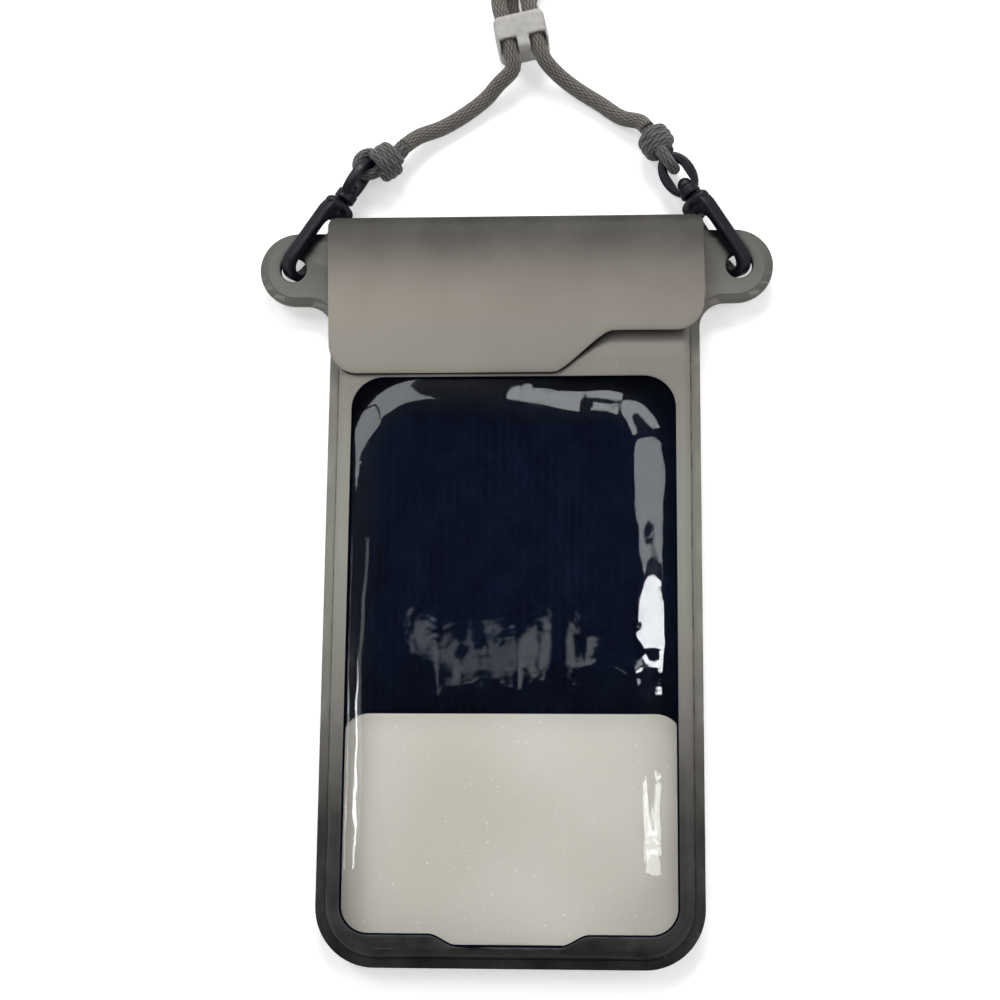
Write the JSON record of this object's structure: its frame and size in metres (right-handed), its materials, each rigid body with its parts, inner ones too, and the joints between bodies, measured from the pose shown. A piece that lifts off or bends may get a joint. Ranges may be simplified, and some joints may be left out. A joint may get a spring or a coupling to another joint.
{
  "type": "waterproof phone pouch",
  "caption": "Flat waterproof phone pouch with clear windows, a folded-over flap, side ears, snap hooks and a braided neck cord gathered by a stopper.",
  "frame": {"origin": "on the resting plane, under the middle of the pouch with its hooks and rings, cords left out", "axes": "+X to the right seen from the front, +Y from the closed bottom toward the fold and the lanyard, +Z out of the front window"},
  "size_m": [0.154, 0.3886, 0.0123],
  "materials": {
    "pouch_plastic": "satin taupe soft plastic, navy inside",
    "clear_film": "glossy clear film",
    "zip_plastic": "translucent press-to-close track",
    "closure_tape": "black hook-and-loop tape",
    "hook_plastic": "smooth blue-black moulded plastic",
    "stopper_plastic": "frosted translucent moulded plastic",
    "cord": "braided taupe-grey cord"
  },
  "bodies": {
    "pouch": {"front_frame": "pouch_plastic", "front_window": "clear_film", "back_panel": "pouch_plastic", "back_window": "clear_film", "zip_track_back": "zip_plastic", "zip_track_front": "zip_plastic", "front_loop_strip": "closure_tape", "flap_hook_strip": "closure_tape", "left_hook_body": "hook_plastic", "right_hook_body": "hook_plastic", "cord_stopper": "stopper_plastic", "left_cord": "cord", "right_cord": "cord", "left_cord_return": "cord", "right_cord_return": "cord", "neck_loop_coil": "cord"},
    "left_gate": {"left_hook_gate": "hook_plastic"},
    "right_gate": {"right_hook_gate": "hook_plastic"},
    "left_swivel": {"left_swivel_ring": "hook_plastic", "left_knot": "cord"},
    "right_swivel": {"right_swivel_ring": "hook_plastic", "right_knot": "cord"}
  },
  "joints": [
    {"name": "left_gate_hinge", "type": "hinge", "parent": "pouch", "child": "left_gate", "pos_m": [-0.05355, 0.10163, 0.00226], "axis": [-0.7112, 0.4619, -0.5299], "range_deg": [0, 4.5], "stiffness_Nm_per_rad": 0.02},
    {"name": "right_gate_hinge", "type": "hinge", "parent": "pouch", "child": "right_gate", "pos_m": [0.054, 0.10197, 0.00226], "axis": [-0.7231, -0.4431, 0.5299], "range_deg": [0, 4.5], "stiffness_Nm_per_rad": 0.02},
    {"name": "left_ring_swivel", "type": "hinge", "parent": "pouch", "child": "left_swivel", "pos_m": [-0.05165, 0.10815, 0.0054], "axis": [0.5446, 0.8387, 0], "continuous": true},
    {"name": "right_ring_swivel", "type": "hinge", "parent": "pouch", "child": "right_swivel", "pos_m": [0.05227, 0.10854, 0.0054], "axis": [-0.5225, 0.8526, 0], "continuous": true}
  ]
}
